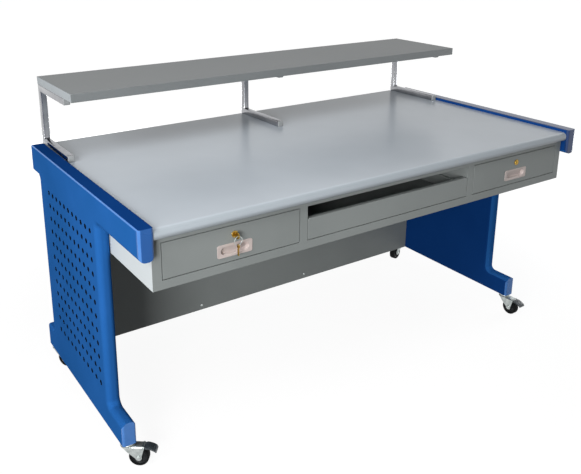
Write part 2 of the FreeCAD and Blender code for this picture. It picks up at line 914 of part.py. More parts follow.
def caster_fork(braked):
    top = leg_bottom - swivel_cup - swivel_gap
    crown = rod(point(0, 0, top - fork_sheet), Z, swivel_radius, fork_sheet)
    inner = cheek_inner()
    outer = inner + fork_sheet
    bridge = block((0, -outer, top - fork_sheet), (caster_trail * 0.6, outer, top))
    solids = [crown, bridge]
    low = axle_z
    pin_x = caster_trail + pedal_pin_out
    shoulder = caster_trail + fork_boss_radius
    near_top = -swivel_radius * 0.55
    for y in (-outer, inner):
        if braked:
            reach = pin_x + pedal_barrel_radius
            head = [(reach, top, 3.0), (reach, pedal_pin_height - pedal_barrel_radius * 1.4, 3.0)]
        else:
            head = [(caster_trail * 0.9, top, 3.0)]
        corners = [(near_top, top, 0.0)] + head
        corners += [(shoulder, low + 2, 2.0), (shoulder, low - fork_boss_radius, fork_boss_radius * 0.9)]
        corners += [(caster_trail - fork_boss_radius, low - fork_boss_radius, fork_boss_radius * 0.9)]
        corners += [(near_top, top - fork_sheet * 2, 2.0)]
        solids.append(plate_y(corners, y, y + fork_sheet))
    fork = fused(solids)
    holes = [rod(point(0, 0, 0), Z, kingpin_radius + running_fit, leg_bottom)]
    holes.append(rod(point(caster_trail, -2 * outer, axle_z), Y, axle_radius + bolt_hole_gap, 4 * outer))
    if braked:
        start = point(pin_x, -2 * outer, pedal_pin_height)
        holes.append(rod(start, Y, pedal_pin_radius + bolt_hole_gap, 4 * outer))
    return fork.cut(Part.makeCompound(holes))


def caster_axle():
    outer = cheek_inner() + fork_sheet
    head = hex_rod(point(caster_trail, -outer - axle_head, axle_z), Y, axle_head_radius, axle_head)
    shank = rod(point(caster_trail, -outer, axle_z), Y, axle_radius, 2 * outer)
    end = hex_rod(point(caster_trail, outer, axle_z), Y, axle_head_radius, axle_head)
    return fused([head, shank, end])


def pedal_pin():
    outer = cheek_inner() + fork_sheet
    x = caster_trail + pedal_pin_out
    shank = rod(point(x, -outer, pedal_pin_height), Y, pedal_pin_radius, 2 * outer)
    heads = []
    for y in (-outer - 1.0, outer):
        heads.append(rod(point(x, y, pedal_pin_height), Y, pedal_pin_radius * 1.7, 1.0))
    return fused([shank] + heads)


def brake_pedal():
    x = caster_trail + pedal_pin_out
    z = pedal_pin_height
    inner = cheek_inner() - hub_side_gap
    barrel = rod(point(x, -inner, z), Y, pedal_barrel_radius, 2 * inner)
    half = pedal_width / 2
    start = x + pedal_barrel_radius * 0.5
    neck_end = x + pedal_barrel_radius + 2.0
    end = x + pedal_length
    low = z - pedal_thickness / 2
    neck = block((start, -inner, low), (neck_end + 1.0, inner, low + pedal_thickness))
    pad_outline = [(neck_end, -half, 2.0), (end, -half, 7.0), (end, half, 7.0), (neck_end, half, 2.0)]
    pad = plate_z(pad_outline, low, low + pedal_thickness)
    pedal = fused([barrel, neck, pad])
    pedal.rotate(point(x, 0, z), Y, pedal_tilt)
    bore = rod(point(x, -2 * half, z), Y, pedal_pin_radius + running_fit, 4 * half)
    return pedal.cut(bore)


def wheel_pieces():
    half = wheel_width / 2
    hub_radius = wheel_radius - tyre_thickness
    tyre = rod(point(caster_trail, -half, axle_z), Y, wheel_radius, wheel_width)
    tyre = tyre.makeFillet(tread_round, edges_at(tyre, lambda edge: edge.Length > wheel_radius * 3))
    start = point(caster_trail, -wheel_width, axle_z)
    tyre = tyre.cut(rod(start, Y, hub_radius + tyre_seat, 2 * wheel_width))
    hub = rod(point(caster_trail, -half + hub_dish, axle_z), Y, hub_radius, wheel_width - 2 * hub_dish)
    boss_half = cheek_inner() - hub_side_gap
    boss = rod(point(caster_trail, -boss_half, axle_z), Y, hub_flange_radius, 2 * boss_half)
    hub = fused([hub, boss])
    hub = hub.cut(rod(start, Y, axle_radius + running_fit, 2 * wheel_width))
    return tyre, hub


def mount_plate():
    half_x = leg_thickness / 2 - foot_end_round
    half_y = min(caster_front_margin, caster_rear_margin) - leg_sheet - mount_plate_gap
    low = leg_bottom + leg_sheet
    plate = block((-half_x, -half_y, low), (half_x, half_y, low + mount_plate_thickness))
    return plate.cut(rod(point(0, 0, leg_bottom), Z, stem_radius + stem_fit, stem_length))


def make_casters():
    stems = []
    plates = []
    for name, (x, y) in caster_places().items():
        turn = caster_turns[name]
        braked = name.startswith("front")

        def placed(shape):
            shape.rotate(origin, Z, turn)
            shape.translate(point(x, y, 0))
            return shape

        plate = mount_plate()
        plate.translate(point(x, y, 0))
        plates.append(plate)
        stems.append(placed(caster_stem()))
        tyre, hub = wheel_pieces()
        write(name + "_caster_fork", [placed(caster_fork(braked))])
        write(name + "_caster_tyre", [placed(tyre)])
        write(name + "_caster_hub", [placed(hub)])
        pins = [placed(caster_axle())]
        if braked:
            pins.append(placed(pedal_pin()))
            write(name + "_brake_pedal", [placed(brake_pedal())])
        write(name + "_caster_pins" if braked else name + "_caster_axle", pins)
    write("caster_stems", stems)
    write("caster_mounting_plates", plates)


os.makedirs("parts", exist_ok=True)
make_legs()
make_worktop()
make_cleats()
make_modesty_panel()
make_housing()
make_runner_channels()
make_drawer("left", openings()["left"])
make_drawer("right", openings()["right"])
make_keys()
make_keyboard_tray()
make_shelf()
make_frame_bolts()
make_casters()
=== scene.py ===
import json
from math import cos, pi, radians, sin

import bpy
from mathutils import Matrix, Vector
from mathutils.bvhtree import BVHTree


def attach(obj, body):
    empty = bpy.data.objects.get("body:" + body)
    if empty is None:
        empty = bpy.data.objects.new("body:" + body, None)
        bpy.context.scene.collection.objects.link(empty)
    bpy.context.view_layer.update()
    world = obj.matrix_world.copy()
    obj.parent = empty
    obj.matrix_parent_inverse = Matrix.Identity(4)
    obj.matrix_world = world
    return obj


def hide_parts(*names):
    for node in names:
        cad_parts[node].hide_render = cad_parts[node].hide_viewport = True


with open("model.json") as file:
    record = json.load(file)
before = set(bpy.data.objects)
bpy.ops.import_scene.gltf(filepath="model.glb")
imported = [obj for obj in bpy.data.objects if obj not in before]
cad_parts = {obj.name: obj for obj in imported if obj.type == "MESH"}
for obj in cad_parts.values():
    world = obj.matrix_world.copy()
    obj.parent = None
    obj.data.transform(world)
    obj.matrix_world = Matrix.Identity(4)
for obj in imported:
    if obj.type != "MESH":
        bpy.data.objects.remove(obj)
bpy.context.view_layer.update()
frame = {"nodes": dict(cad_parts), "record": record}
nodes = frame["nodes"]
bpy.ops.object.select_all(action="DESELECT")
scene = bpy.context.scene
scene.view_settings.view_transform = "Standard"
print("frame loaded:", len(nodes), "nodes")


# colours are written as sRGB hex and turned to linear here
def toLinear(hexText):
    channels = [int(hexText[i:i + 2], 16) / 255 for i in (1, 3, 5)]
    linear = [c / 12.92 if c <= 0.04045 else ((c + 0.055) / 1.055) ** 2.4 for c in channels]
    return (*linear, 1.0)


def addNode(tree, kind, settings=None, links=None):
    node = tree.nodes.new(kind)
    for key, value in (settings or {}).items():
        if isinstance(key, int) or key in node.inputs:
            node.inputs[key].default_value = value
        else:
            setattr(node, key, value)
    for key, source in (links or {}).items():
        tree.links.new(source, node.inputs[key])
    return node


def startMaterial(name, settings):
    material = bpy.data.materials.new(name)
    material.use_nodes = True
    tree = material.node_tree
    shader = tree.nodes["Principled BSDF"]
    for key, value in settings.items():
        shader.inputs[key].default_value = value
    coords = addNode(tree, "ShaderNodeTexCoord").outputs["Object"]
    return material, tree, shader, coords


# two tones of one colour wander over the surface, the gloss varies with it and a fine bump lies on top;
# the real grain is well under a millimetre, so it is drawn coarser here to be seen at all
def paintedFinish(name, spec):
    material, tree, shader, coords = startMaterial(name, spec["shader"])
    drift = addNode(tree, "ShaderNodeTexNoise", {"Scale": 1000 / spec["driftMm"], "Detail": 3.0},
                    {"Vector": coords})
    tones = addNode(tree, "ShaderNodeValToRGB", links={"Fac": drift.outputs["Fac"]})
    for stop, position, tone in zip(tones.color_ramp.elements, (0.35, 0.65), spec["tones"]):
        stop.position = position
        stop.color = toLinear(tone)
    tree.links.new(tones.outputs["Color"], shader.inputs["Base Color"])
    low, high = spec["roughness"]
    gloss = addNode(tree, "ShaderNodeMapRange", {"To Min": low, "To Max": high},
                    {"Value": drift.outputs["Fac"]})
    tree.links.new(gloss.outputs["Result"], shader.inputs["Roughness"])
    grain = addNode(tree, "ShaderNodeTexNoise", {"Scale": 1000 / spec["grainMm"], "Detail": 2.0},
                    {"Vector": coords})
    bump = addNode(tree, "ShaderNodeBump", {"Strength": spec["bump"], "Distance": spec["bumpMm"] / 1000},
                   {"Height": grain.outputs["Fac"]})
    tree.links.new(bump.outputs["Normal"], shader.inputs["Normal"])
    return material


finishes = {
    # stove enamel sprayed on pressed steel: deep blue and matt, with a faint orange peel
    "blueEnamel": {"shader": {"IOR": 1.5, "Specular IOR Level": 0.0}, "tones": ("#205898", "#265FA4"),
                   "driftMm": 260, "roughness": (0.3, 0.4), "grainMm": 7, "bump": 0.06, "bumpMm": 0.4},
    # a glossier, slightly darker copy of the enamel on the left arm's end, so that the end catches a
    # highlight
    "glossyEndEnamel": {"shader": {"IOR": 1.5, "Specular IOR Level": 0.35}, "tones": ("#1A5193", "#205A9D"),
                     "driftMm": 260, "roughness": (0.24, 0.32), "grainMm": 7, "bump": 0.06, "bumpMm": 0.4},
    # a darker, glossier copy of the enamel on the right arm's end and top; the darker tone is painted shade
    "shadedGlossEnamel": {"shader": {"IOR": 1.5, "Specular IOR Level": 0.5}, "tones": ("#0C2F60", "#103668"),
                    "driftMm": 260, "roughness": (0.2, 0.28), "grainMm": 7, "bump": 0.06, "bumpMm": 0.4},
    # a paler copy of the enamel as painted highlight, on the foot ends and on the arms' outer edges and
    # corners
    "paintedHighlightEnamel": {"shader": {"IOR": 1.5, "Specular IOR Level": 0.35}, "tones": ("#3D70B2", "#4778BA"),
                      "driftMm": 60, "roughness": (0.3, 0.4), "grainMm": 7, "bump": 0.06, "bumpMm": 0.4},
    # a darker, matt copy of the enamel as painted shade, on the legs' inner covers and the left arm's top
    "paintedShadeEnamel": {"shader": {"IOR": 1.5, "Specular IOR Level": 0.0}, "tones": ("#0F3A78", "#133F7F"),
                   "driftMm": 260, "roughness": (0.34, 0.44), "grainMm": 7, "bump": 0.06, "bumpMm": 0.4},
    # satin powder coat on folded sheet: even grey with a fine pebble
    "greyEnamel": {"shader": {"IOR": 1.5, "Specular IOR Level": 0.35}, "tones": ("#808584", "#888D8C"),
                   "driftMm": 320, "roughness": (0.42, 0.52), "grainMm": 4, "bump": 0.06, "bumpMm": 0.3},
    # the same satin finish in a paler grey, on the ends of the drawer housing
    "paleEnamel": {"shader": {"IOR": 1.5, "Specular IOR Level": 0.35}, "tones": ("#BFC5C7", "#C7CDCF"),
                   "driftMm": 320, "roughness": (0.42, 0.52), "grainMm": 4, "bump": 0.06, "bumpMm": 0.3},
    # post-formed high-pressure laminate: pale grey, a fine pressed texture and a soft sheen
    "paleLaminate": {"shader": {"IOR": 1.5, "Specular IOR Level": 0.25}, "tones": ("#B7BFC7", "#BFC7CF"),
                     "driftMm": 420, "roughness": (0.2, 0.28), "grainMm": 3, "bump": 0.05, "bumpMm": 0.2},
    # the darker laminate on the shelf's board: mid grey and nearly matt
    "greyLaminate": {"shader": {"IOR": 1.5, "Specular IOR Level": 0.35}, "tones": ("#6A6E6F", "#717576"),
                     "driftMm": 420, "roughness": (0.4, 0.5), "grainMm": 3, "bump": 0.05, "bumpMm": 0.2},
    # a paler and smoother finish than the board's, on the shelf's ends
    "paleShelfEnd": {"shader": {"IOR": 1.5, "Specular IOR Level": 0.35}, "tones": ("#979EA2", "#9FA6AA"),
                 "driftMm": 120, "roughness": (0.36, 0.44), "grainMm": 3, "bump": 0.04, "bumpMm": 0.1},
    # bright chrome plate on square tube: a mirror, a little clouded
    "chromePlate": {"shader": {"Metallic": 1.0}, "tones": ("#95969A", "#A8A9AC"),
                    "driftMm": 60, "roughness": (0.12, 0.22), "grainMm": 8, "bump": 0.03, "bumpMm": 0.2},
    # zinc plate on pressed steel: cool grey with a mottled gloss
    "zincPlate": {"shader": {"Metallic": 0.9}, "tones": ("#A3A9A8", "#BFC5C3"),
                  "driftMm": 12, "roughness": (0.28, 0.42), "grainMm": 3, "bump": 0.08, "bumpMm": 0.2},
    # moulded ABS, pale and faintly pink, with the matt skin of the mould
    "paleAbs": {"shader": {"IOR": 1.53, "Specular IOR Level": 0.4}, "tones": ("#BAADA9", "#C4B8B4"),
                "driftMm": 60, "roughness": (0.34, 0.44), "grainMm": 2, "bump": 0.05, "bumpMm": 0.1},
    # the weld beads' metal: dark, rough and dull
    "darkWeldMetal": {"shader": {"Metallic": 0.5}, "tones": ("#2A2B2C", "#46474A"),
                  "driftMm": 3, "roughness": (0.5, 0.7), "grainMm": 1, "bump": 0.3, "bumpMm": 0.3},
    # primer inside the hollow legs, drawn near black as painted shade so that the holes read dark
    "primerAndShade": {"shader": {"Specular IOR Level": 0.1}, "tones": ("#0A0C10", "#12151A"),
                   "driftMm": 40, "roughness": (0.7, 0.85), "grainMm": 3, "bump": 0.1, "bumpMm": 0.2},
    # moulded nylon of the pedals: slate grey with a soft shine
    "slateNylon": {"shader": {"IOR": 1.53, "Specular IOR Level": 0.5}, "tones": ("#2C3236", "#3A4146"),
                   "driftMm": 25, "roughness": (0.26, 0.36), "grainMm": 2, "bump": 0.06, "bumpMm": 0.1},
    # push-in polythene cap: flat mid grey with the dull skin of the mould
    "greyPlugPlastic": {"shader": {"IOR": 1.5}, "tones": ("#8A8D8E", "#949798"),
                        "driftMm": 40, "roughness": (0.45, 0.55), "grainMm": 2, "bump": 0.06, "bumpMm": 0.1},
    # turned brass: warm yellow, rubbed bright
    "turnedBrass": {"shader": {"Metallic": 1.0}, "tones": ("#9A7A2E", "#B8964A"),
                    "driftMm": 8, "roughness": (0.24, 0.36), "grainMm": 1.5, "bump": 0.06, "bumpMm": 0.05},
    # solid rubber, dull and slightly dusty
    "blackRubber": {"shader": {"IOR": 1.52, "Specular IOR Level": 0.08}, "tones": ("#0A0B0C", "#151617"),
                    "driftMm": 18, "roughness": (0.6, 0.75), "grainMm": 2, "bump": 0.12, "bumpMm": 0.15},
    # glass-filled nylon wheel centre: near black with a low satin shine
    "blackNylon": {"shader": {"IOR": 1.53, "Specular IOR Level": 0.15}, "tones": ("#121315", "#1C1E20"),
                   "driftMm": 30, "roughness": (0.38, 0.5), "grainMm": 2, "bump": 0.08, "bumpMm": 0.1},
}
materials = {name: paintedFinish(name, spec) for name, spec in finishes.items()}


# a second tone laid over a finish where the mask is 1
def layOver(material, mask, tone):
    tree = material.node_tree
    base = tree.nodes["Principled BSDF"].inputs["Base Color"]
    mix = addNode(tree, "ShaderNodeMix", {"data_type": "RGBA", 7: toLinear(tone)},
                  {0: mask, 6: base.links[0].from_socket})
    tree.links.new(mix.outputs[2], base)


# painted shade on the worktop's rolled front edge, darker than its top: most underneath, and again just
# below the top where the edge catches light; each share of the darker tone goes with a height between under
# and top
noseShadeSpec = {"under": 0.720, "top": 0.750, "flat": -0.385, "front": -0.395, "tone": "#9CA4AA",
            "shares": ((0.0, 1.0), (0.35, 0.8), (0.55, 0.5), (0.80, 0.95), (0.92, 0.85), (1.0, 0.0))}
tree = materials["paleLaminate"].node_tree
coords = addNode(tree, "ShaderNodeTexCoord").outputs["Object"]
axes = addNode(tree, "ShaderNodeSeparateXYZ", links={0: coords})
rise = addNode(tree, "ShaderNodeMapRange", {"From Min": noseShadeSpec["under"], "From Max": noseShadeSpec["top"]},
               {"Value": axes.outputs["Z"]})
share = addNode(tree, "ShaderNodeValToRGB", links={"Fac": rise.outputs["Result"]})
stops = share.color_ramp.elements
for i, (height, level) in enumerate(noseShadeSpec["shares"]):
    stop = stops[0] if i == 0 else stops[-1] if height == 1.0 else stops.new(height)
    stop.color = (level, level, level, 1.0)
ahead = addNode(tree, "ShaderNodeMapRange",
                {"From Min": noseShadeSpec["front"], "From Max": noseShadeSpec["flat"], "To Min": 1.0, "To Max": 0.0},
                {"Value": axes.outputs["Y"]})
paintedNoseShade = addNode(tree, "ShaderNodeMath", {"operation": "MULTIPLY"},
                 {0: share.outputs["Color"], 1: ahead.outputs["Result"]})
layOver(materials["paleLaminate"], paintedNoseShade.outputs[0], noseShadeSpec["tone"])

# the finish of each material slot in the record
slotFinish = {"blue_paint": "blueEnamel", "grey_paint": "greyEnamel", "laminate_board": "paleLaminate",
              "chrome": "chromePlate", "zinc_steel": "zincPlate", "pale_plastic": "paleAbs",
              "grey_plastic": "greyPlugPlastic", "brass": "turnedBrass", "black_rubber": "blackRubber",
              "black_plastic": "blackNylon"}
for part in frame["record"]["subparts"]:
    mesh = nodes[part["node"]].data
    mesh.materials.clear()
    mesh.materials.append(materials[slotFinish[part["material_slot"]]])
print("finishes laid on")

# the body of each node and the slot of each finish that a piece starts with
bodies = frame["record"]["behaviour"]["bodies"]
bodyOf = {node: body for body, members in bodies.items() for node in members}
slotOf = {finish: slot for slot, finish in slotFinish.items()}
slotOf.update({"greyLaminate": "laminate_board", "paintedShadeEnamel": "blue_paint", "darkWeldMetal": "chrome",
               "slateNylon": "black_plastic"})

# corners nearer than this, in metres, are one
mergeGap = 0.00001
# a face looks along an axis when its normal has more than this share of it
squarely = 0.9
# edges flatter than this, in degrees, are shaded smooth
smoothAngle = 35


def deselect():
    if bpy.context.object and bpy.context.object.mode == "EDIT":
        bpy.ops.object.mode_set(mode="OBJECT")
    bpy.ops.object.select_all(action="DESELECT")


def activate(piece):
    deselect()
    piece.select_set(True)
    bpy.context.view_layer.objects.active = piece


# edit mode on the active piece, with the faces, edges or corners that pass the test selected
def pick(kind, test):
    mesh = bpy.context.object.data
    bpy.ops.object.mode_set(mode="EDIT")
    bpy.ops.mesh.select_mode(type=kind)
    bpy.ops.mesh.select_all(action="DESELECT")
    bpy.ops.object.mode_set(mode="OBJECT")
    if kind == "FACE":
        for face in mesh.polygons:
            face.select = test(face.center, face.normal)
    elif kind == "EDGE":
        for edge in mesh.edges:
            edge.select = test(*(mesh.vertices[i].co for i in edge.vertices))
    else:
        for corner in mesh.vertices:
            corner.select = test(corner.co)
    bpy.ops.object.mode_set(mode="EDIT")


# a flat face with its corners at the points
def flatFace(points):
    deselect()
    bpy.ops.mesh.primitive_circle_add(vertices=len(points), fill_type="NGON")
    piece = bpy.context.object
    for corner, place in zip(piece.data.vertices, points):
        corner.co = place
    return piece


# the flat face drawn out to a closed prism
def prism(points, reach):
    piece = flatFace(points)
    bpy.ops.object.mode_set(mode="EDIT")
    bpy.ops.mesh.select_all(action="SELECT")
    bpy.ops.mesh.extrude_region_move(TRANSFORM_OT_translate={"value": reach})
    bpy.ops.mesh.select_all(action="SELECT")
    bpy.ops.mesh.normals_make_consistent(inside=False)
    bpy.ops.object.mode_set(mode="OBJECT")
    return piece


# a half section of (radius, height) corners spun about the Z axis
def turned(section, steps):
    deselect()
    bpy.ops.mesh.primitive_circle_add(vertices=len(section))
    piece = bpy.context.object
    for corner, (radius, height) in zip(piece.data.vertices, section):
        corner.co = (radius, 0, height)
    bpy.ops.object.mode_set(mode="EDIT")
    bpy.ops.mesh.select_all(action="SELECT")
    bpy.ops.mesh.spin(steps=steps, angle=2 * pi, center=(0, 0, 0), axis=(0, 0, 1))
    bpy.ops.mesh.select_all(action="SELECT")
    bpy.ops.mesh.remove_doubles(threshold=mergeGap)
    bpy.ops.mesh.dissolve_degenerate(threshold=mergeGap)
    bpy.ops.mesh.delete_loose(use_verts=True, use_edges=True, use_faces=False)
    bpy.ops.mesh.select_all(action="SELECT")
    bpy.ops.mesh.normals_make_consistent(inside=False)
    bpy.ops.object.mode_set(mode="OBJECT")
    return piece


def boxPiece(low, high):
    deselect()
    middle = [(a + b) / 2 for a, b in zip(low, high)]
    bpy.ops.mesh.primitive_cube_add(size=1, location=middle)
    piece = bpy.context.object
    piece.scale = [b - a for a, b in zip(low, high)]
    bpy.ops.object.transform_apply(location=True, rotation=True, scale=True)
    return piece


# turns and shifts a piece and leaves the place in its mesh
def place(piece, turn=(0, 0, 0), shift=(0, 0, 0)):
    activate(piece)
    piece.rotation_euler = [radians(a) for a in turn]
    piece.location = shift
    bpy.ops.object.transform_apply(location=True, rotation=True, scale=True)
    return piece


def soften(piece, width, segments=2, angle=40):
    activate(piece)
    bevel = piece.modifiers.new("softEdge", "BEVEL")
    bevel.width = width
    bevel.segments = segments
    bevel.limit_method = "ANGLE"
    bevel.angle_limit = radians(angle)
    bpy.ops.object.modifier_apply(modifier=bevel.name)
    return piece


def carve(piece, tool, how="DIFFERENCE"):
    activate(piece)
    cut = piece.modifiers.new("carve", "BOOLEAN")
    cut.operation = how
    cut.solver = "EXACT"
    cut.object = tool
    bpy.ops.object.modifier_apply(modifier=cut.name)
    bpy.data.objects.remove(tool)
    return piece


def joined(pieces):
    activate(pieces[0])
    if len(pieces) == 1:
        return pieces[0]
    for piece in pieces:
        piece.select_set(True)
    bpy.ops.object.join()
    return pieces[0]


def twin(piece):
    activate(piece)
    bpy.ops.object.duplicate(linked=False)
    return bpy.context.object


def discard(*pieces):
    for piece in pieces:
        bpy.data.objects.remove(piece)


def settle(piece, name, body, finish, replaced=()):
    activate(piece)
    bpy.ops.object.transform_apply(location=True, rotation=True, scale=True)
    bpy.ops.object.shade_smooth_by_angle(angle=radians(smoothAngle))
    piece.name = name
    piece.data.name = name
    piece.data.materials.clear()
    piece.data.materials.append(materials[finish])
    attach(piece, body)
    if replaced:
        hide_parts(*replaced)
    return piece


# resizes what is picked about the origin
def stretch(factors):
    bpy.ops.transform.resize(value=factors, center_override=(0, 0, 0))


# tests for edges that run along the Y axis or square to it
def alongY(a, b):
    return abs(a.y - b.y) > 0.001


def squareToY(a, b):
    return abs(a.y - b.y) < 0.000001


def mm(*values):
    return tuple(v / 1000 for v in values)


def mmLine(*points):
    return [mm(*point) for point in points]


# casters: modelled once with the trail along +X from the swivel axis, then turned and set under each foot
# end; places are in metres and degrees, other sizes in millimetres
casterSpec = {"places": {"front_left": (-0.770, -0.220, -38.0), "front_right": (0.770, -0.220, -88.5),
                         "rear_left": (-0.770, 0.360, -58.0), "rear_right": (0.770, 0.360, 197.0)},
              "axle": (32, 0, 28), "pin": (44, 0, 58.5), "outer": 14.3, "sheet": 2.5}
lying = (90, 0, 0)

# stem, ball race and kingpin
race = turned(mmLine((0, 94), (5, 94), (6, 93), (6, 70), (19.4, 70), (20, 69.5), (20, 67.9), (19.4, 67.4),
                     (18.2, 67.1), (18.9, 66.2), (19.1, 65), (18.6, 63.8), (17.4, 63.1), (9, 63), (5, 63),
                     (5, 59.9), (8.1, 59.9), (8.5, 59.5), (8.5, 58.2), (7.4, 57.4), (0, 57.4)), 64)

# pressed yoke: a bent channel trimmed to its side outline, under a round crown;
# bare and braked give how far forward and how low the cheeks' front corner lies
forkSpec = {"back": -16, "front": 60, "under": 10, "top": 62.5, "bend": 5, "bendFrom": 60, "boss": 9,
            "trimHalf": 20, "edge": 0.5, "bare": (35, 44), "braked": (48.2, 52.6)}


def forkModel(reach, low):
    spec = forkSpec
    outer = casterSpec["outer"]
    channel = boxPiece(mm(spec["back"], -outer, spec["under"]), mm(spec["front"], outer, spec["top"]))
    pick("EDGE", lambda a, b: min(a.z, b.z) > spec["bendFrom"] / 1000 and squareToY(a, b))
    bpy.ops.mesh.bevel(offset=spec["bend"] / 1000, segments=5, affect="EDGES")
    pick("FACE", lambda middle, facing: facing.z < -squarely or abs(facing.x) > squarely)
    bpy.ops.mesh.delete(type="FACE")
    bpy.ops.object.mode_set(mode="OBJECT")
    wall = channel.modifiers.new("wall", "SOLIDIFY")
    wall.thickness = casterSpec["sheet"] / 1000
    wall.offset = -1
    wall.use_even_offset = True
    bpy.ops.object.modifier_apply(modifier=wall.name)
    trail, axleZ = casterSpec["axle"][0], casterSpec["axle"][2]
    side = [(-13, 64), (reach, 64), (reach, low + 3), (reach - 1.5, low)]
    for angle in range(20, -171, -19):
        side.append((trail + spec["boss"] * cos(radians(angle)), axleZ + spec["boss"] * sin(radians(angle))))
    side += [(2, 44), (-9, 56.5), (-13, 59)]
    half = spec["trimHalf"]
    carve(channel, prism([mm(x, -half, z) for x, z in side], mm(0, 2 * half, 0)), "INTERSECT")
    soften(channel, spec["edge"] / 1000, 2, 50)
    crown = turned(mmLine((5.1, 62.68), (19.2, 62.68), (20, 62.1), (20, 60.6), (19.4, 60.05),
                          (5.1, 60.05)), 64)
    return joined([channel, crown])


# bolt through the hub: hexagon head and nut over washers
boltSpec = {"radius": 6.3, "height": 3.4, "chamfer": 0.8, "crown": 0.4, "edge": 0.3, "seat": 1.9}


def axleModel():
    spec = boltSpec
    outer = casterSpec["outer"]
    trail, centre, axleZ = casterSpec["axle"]
    pieces = []
    for side in (-1, 1):
        deselect()
        radius, height = mm(spec["radius"], spec["height"])
        bpy.ops.mesh.primitive_cylinder_add(vertices=6, radius=radius, depth=height)
        head = bpy.context.object
        pick("FACE", lambda middle, facing: facing.z > squarely)
        bpy.ops.mesh.inset(thickness=spec["chamfer"] / 1000)
        bpy.ops.transform.translate(value=mm(0, 0, spec["crown"]))
        bpy.ops.object.mode_set(mode="OBJECT")
        soften(head, spec["edge"] / 1000)
        washer = turned(mmLine((3.9, 0), (7.2, 0), (7.4, 0.2), (7.4, 0.7), (7.2, 0.9), (3.9, 0.9)), 40)
        end = turned(mmLine((0, 0), (3.9, 0), (3.9, 2.4), (3.4, 3.1), (0, 3.3)), 32)
        place(head, shift=mm(0, 0, spec["seat"]))
        bolt = joined([head, washer, end])
        pieces.append(place(bolt, (-90 * side, 0, 0), mm(trail, centre + side * outer, axleZ)))
    shank = turned(mmLine((0, -outer), (4, -outer), (4, outer), (0, outer)), 32)
    pieces.append(place(shank, lying, mm(*casterSpec["axle"])))
    return joined(pieces)


def pedalPinModel():
    pin = turned(mmLine((0, -15.3), (2.8, -15.1), (3.4, -14.5), (3.4, -14.3), (2, -14.3), (2, 14.3),
                        (3.4, 14.3), (3.4, 14.5), (2.8, 15.1), (0, 15.3)), 32)
    return place(pin, lying, mm(*casterSpec["pin"]))


# tyre, and a wheel centre with ribs between its rim and its hub
ribSpec = {"low": (8.6, -0.8, -7.6), "high": (19.8, 0.8, 7.6), "edge": 0.4, "count": 6}
tyre = turned(mmLine((22.1, -10.4), (23.4, -10.6), (23.9, -11), (25.6, -11), (26.7, -10.5), (27.5, -9.3),
                     (27.9, -7.4), (28, -4), (28, 4), (27.9, 7.4), (27.5, 9.3), (26.7, 10.5), (25.6, 11),
                     (23.9, 11), (23.4, 10.6), (22.1, 10.4)), 72)
place(tyre, lying, mm(*casterSpec["axle"]))
hub = turned(mmLine((4.1, -11.3), (8.2, -11.3), (9, -10.7), (9.3, -7.4), (10.6, -6.1), (17.6, -6.1),
                    (19.4, -7.4), (20.2, -8.6), (21.9, -8.6), (21.9, 8.6), (20.2, 8.6), (19.4, 7.4),
                    (17.6, 6.1), (10.6, 6.1), (9.3, 7.4), (9, 10.7), (8.2, 11.3), (4.1, 11.3)), 64)
rib = soften(boxPiece(mm(*ribSpec["low"]), mm(*ribSpec["high"])), ribSpec["edge"] / 1000)
ribs = [place(twin(rib), (0, 0, 360 * i / ribSpec["count"])) for i in range(ribSpec["count"])]
discard(rib)
hub = place(joined([hub] + ribs), lying, mm(*casterSpec["axle"]))

# brake pedal: a curved pad with grip bars across it, on a barrel round its pin;
# each bar has its place along the pad, its height and its tilt
pedalSpec = {"half": 14, "neckHalf": 11.2, "neckEnd": 50.5, "tipStart": 81.5, "tipRound": 6, "edge": 0.8,
             "bars": ((58, 61.0, 6), (63.5, 59.9, 13), (69, 58.2, 20), (74.5, 55.7, 28)),
             "barHalf": (1, 10.5, 0.9), "barEdge": 0.5}
sideLine = [(45, 61.6), (50, 61.6), (55, 61.4), (61, 60.6), (67, 59.0), (73, 56.6), (78, 53.6), (81.6, 50.2),
            (82.8, 47.8), (81.4, 46.6), (78.8, 48.6), (74, 51.6), (68, 54.2), (61, 55.8), (55, 56.3),
            (50, 56.2), (45, 56)]
pedal = prism([mm(x, -pedalSpec["half"], z) for x, z in sideLine], mm(0, 2 * pedalSpec["half"], 0))
pick("VERT", lambda corner: corner.x < pedalSpec["neckEnd"] / 1000)
stretch((1, pedalSpec["neckHalf"] / pedalSpec["half"], 1))
pick("EDGE", lambda a, b: min(a.x, b.x) > pedalSpec["tipStart"] / 1000 and squareToY(a, b))
bpy.ops.mesh.bevel(offset=pedalSpec["tipRound"] / 1000, segments=4, affect="EDGES")
bpy.ops.object.mode_set(mode="OBJECT")
soften(pedal, pedalSpec["edge"] / 1000, 2, 30)
bars = []
for x, z, tilt in pedalSpec["bars"]:
    half = pedalSpec["barHalf"]
    bar = soften(boxPiece(mm(*[-size for size in half]), mm(*half)), pedalSpec["barEdge"] / 1000)
    bars.append(place(bar, (0, tilt, 0), mm(x, 0, z)))
barrel = turned(mmLine((2.1, -11.2), (3.7, -11.2), (4.2, -10.7), (4.2, 10.7), (3.7, 11.2), (2.1, 11.2)), 32)
place(barrel, lying, mm(*casterSpec["pin"]))
pedal = joined([pedal, barrel] + bars)


# a copy of a caster's piece, turned and set under its foot end
def stand(piece, x, y, turn):
    return place(twin(piece), (0, 0, turn), (x, y, 0))


